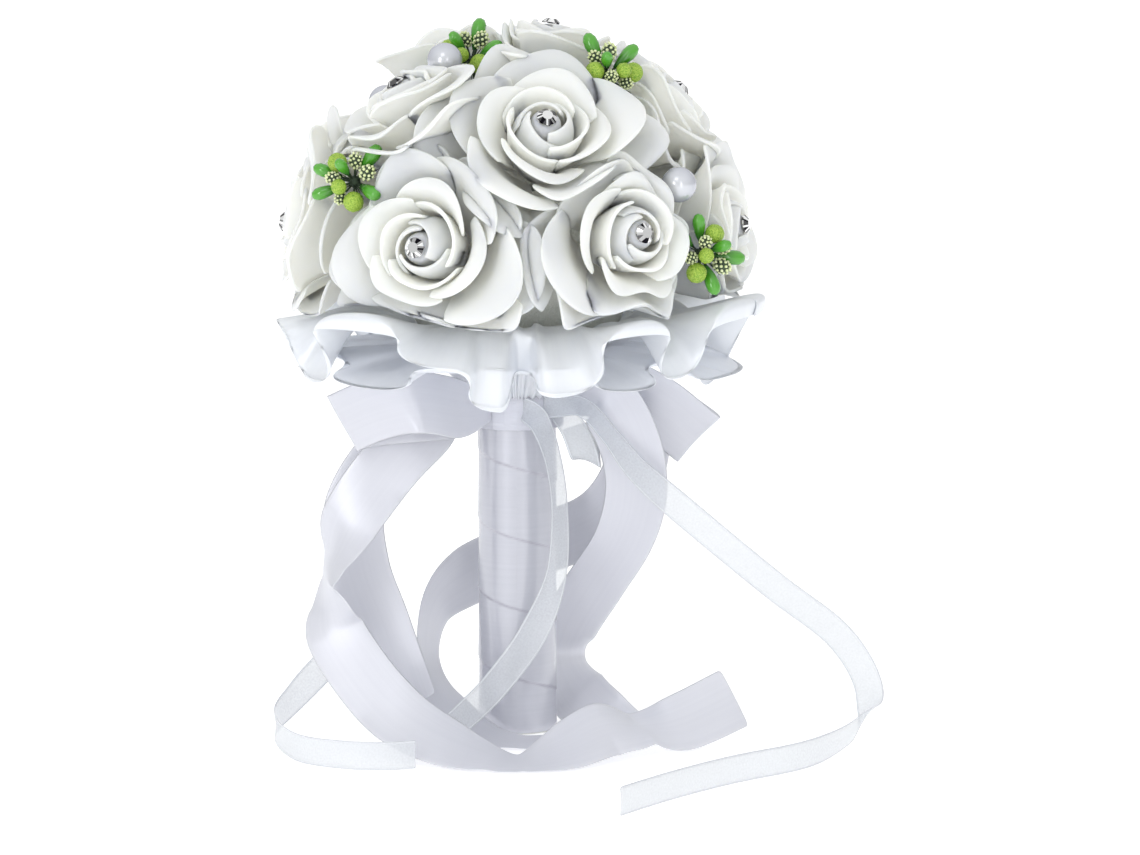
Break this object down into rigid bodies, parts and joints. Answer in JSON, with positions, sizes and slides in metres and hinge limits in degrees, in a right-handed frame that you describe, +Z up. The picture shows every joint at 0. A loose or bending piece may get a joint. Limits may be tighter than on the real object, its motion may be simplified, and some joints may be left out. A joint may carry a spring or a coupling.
{
  "type": "bridal bouquet",
  "caption": "Round bridal bouquet of white foam roses with rhinestones, pearls and berry sprays, a satin ruffle collar, ribbon tails and a wrapped handle.",
  "frame": {"origin": "centre of the handle's flat bottom face, on the surface the bouquet stands on", "axes": "+Z up along the handle's axis, -Y towards the side with the organza tails that hang down the front, +X to that side's right"},
  "size_m": [0.2414, 0.2489, 0.2851],
  "materials": {
    "foam_white": "soft matte sheet foam, white with a faint cool shade",
    "satin_white": "satin ribbon, cool white with a soft sheen",
    "organza_white": "sheer organza ribbon with a denser woven edge",
    "rhinestone": "faceted clear rhinestone with a mirror back",
    "pearl": "imitation pearl with a soft lustre",
    "berry_green": "bright green berries, glossy and sugared",
    "handle_core": "plain moulded holder",
    "foam_block": "dry floral foam, almost hidden"
  },
  "bodies": {
    "root": {"handle_core": "handle_core", "handle_wrap": "satin_white", "tie_band": "satin_white", "foam_ball": "foam_block", "ruffle_collar": "satin_white", "rose_01": "foam_white", "rose_02": "foam_white", "rose_03": "foam_white", "rose_04": "foam_white", "rose_05": "foam_white", "rose_06": "foam_white", "rose_07": "foam_white", "rose_08": "foam_white", "rose_09": "foam_white", "rose_10": "foam_white", "rose_11": "foam_white", "rose_12": "foam_white", "rose_13": "foam_white", "rose_14": "foam_white", "gem_01": "rhinestone", "gem_02": "rhinestone", "gem_03": "rhinestone", "gem_04": "rhinestone", "gem_05": "rhinestone", "gem_06": "rhinestone", "gem_07": "rhinestone", "gem_08": "rhinestone", "gem_09": "rhinestone", "gem_10": "rhinestone", "gem_11": "rhinestone", "gem_12": "rhinestone", "gem_13": "rhinestone", "gem_14": "rhinestone", "pearl_1": "pearl", "pearl_2": "pearl", "pearl_3": "pearl", "pearl_4": "pearl", "pearl_5": "pearl", "berry_spray_1": "berry_green", "berry_spray_2": "berry_green", "berry_spray_3": "berry_green", "berry_spray_4": "berry_green", "berry_spray_5": "berry_green", "berry_spray_6": "berry_green", "satin_tail_left": "satin_white", "satin_tail_left_back": "satin_white", "satin_tail_right": "satin_white", "satin_tail_back": "satin_white", "organza_tail_front": "organza_white", "organza_tail_left": "organza_white", "organza_tail_right": "organza_white", "organza_loop": "organza_white", "bow_loop_left": "satin_white", "bow_loop_right": "satin_white"}
  },
  "joints": []
}
